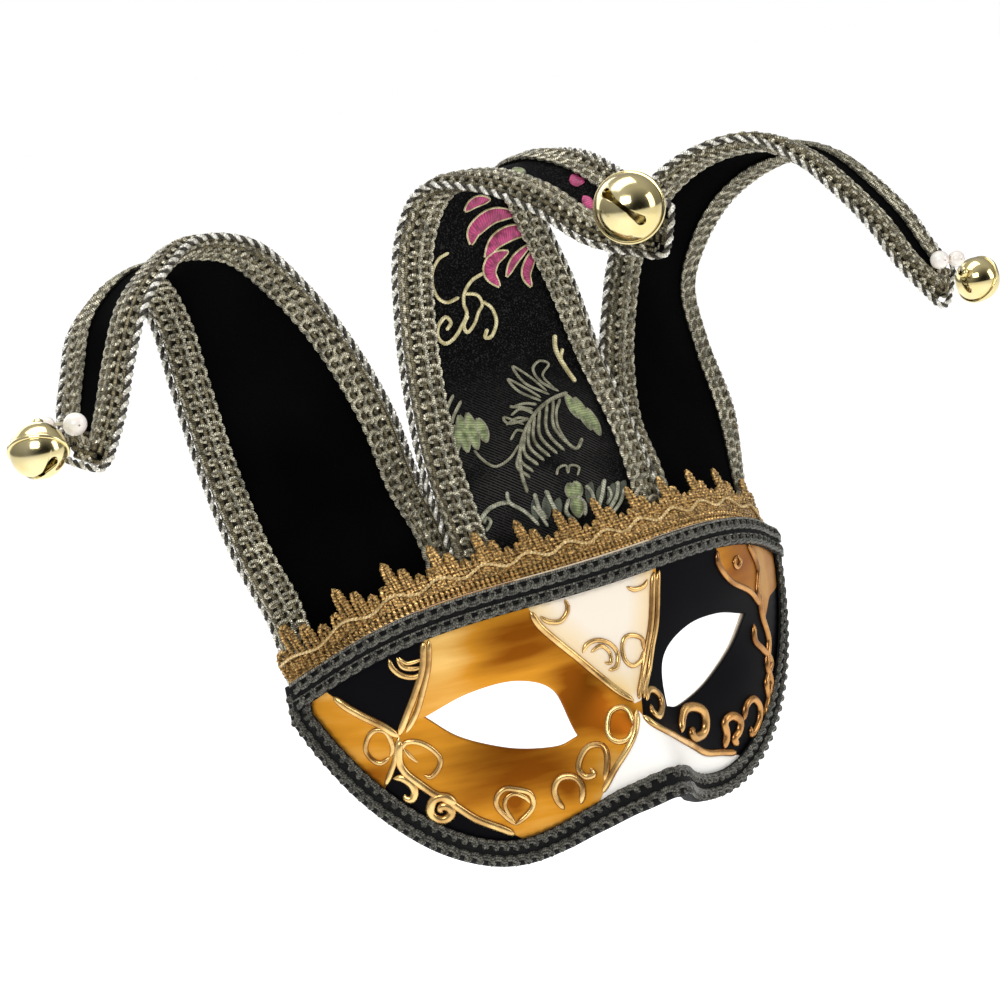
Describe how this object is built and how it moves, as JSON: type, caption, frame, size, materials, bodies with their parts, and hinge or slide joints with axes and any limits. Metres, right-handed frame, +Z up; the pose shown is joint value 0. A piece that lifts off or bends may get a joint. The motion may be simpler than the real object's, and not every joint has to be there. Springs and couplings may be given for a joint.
{
  "type": "jester half mask",
  "caption": "Carnival half mask: moulded painted shell with eye holes and nose, gold lace brow and folded cloth jester horns that end in round bells.",
  "frame": {"origin": "between the eyes, where the bridge of the wearer's nose meets the inside of the shell", "axes": "+Z up as worn, -Y the way the face looks, +Y towards the wearer, +X the right side as seen from the front"},
  "size_m": [0.3324, 0.1193, 0.2036],
  "materials": {
    "shell_paint": "gloss paint in gold, black and cream panels with gold relief",
    "rim_braid": "looped braid, black with dark silver thread",
    "gold_lace": "metallic gold lace",
    "velvet": "black velvet",
    "brocade": "black brocade with pink, green and gold flowers",
    "horn_braid": "antique silver gimp braid",
    "edge_cord": "twisted silver and black cord",
    "bell_metal": "polished",
    "pearl": "pearl lustre"
  },
  "bodies": {
    "root": {"mask_shell": "shell_paint", "top_braid": "rim_braid", "lower_braid": "rim_braid", "gold_lace": "gold_lace", "left_horn": "velvet", "left_horn_left_braid": "horn_braid", "left_horn_right_braid": "horn_braid", "left_horn_cord": "edge_cord", "centre_horn": "brocade", "centre_horn_left_braid": "horn_braid", "centre_horn_right_braid": "horn_braid", "centre_horn_cord": "edge_cord", "right_horn": "velvet", "right_horn_left_braid": "horn_braid", "right_horn_right_braid": "horn_braid", "right_horn_cord": "edge_cord", "left_bell": "bell_metal", "centre_bell": "bell_metal", "right_bell": "bell_metal", "left_pearl_1": "pearl", "left_pearl_2": "pearl", "right_pearl_1": "pearl", "right_pearl_2": "pearl"}
  },
  "joints": []
}
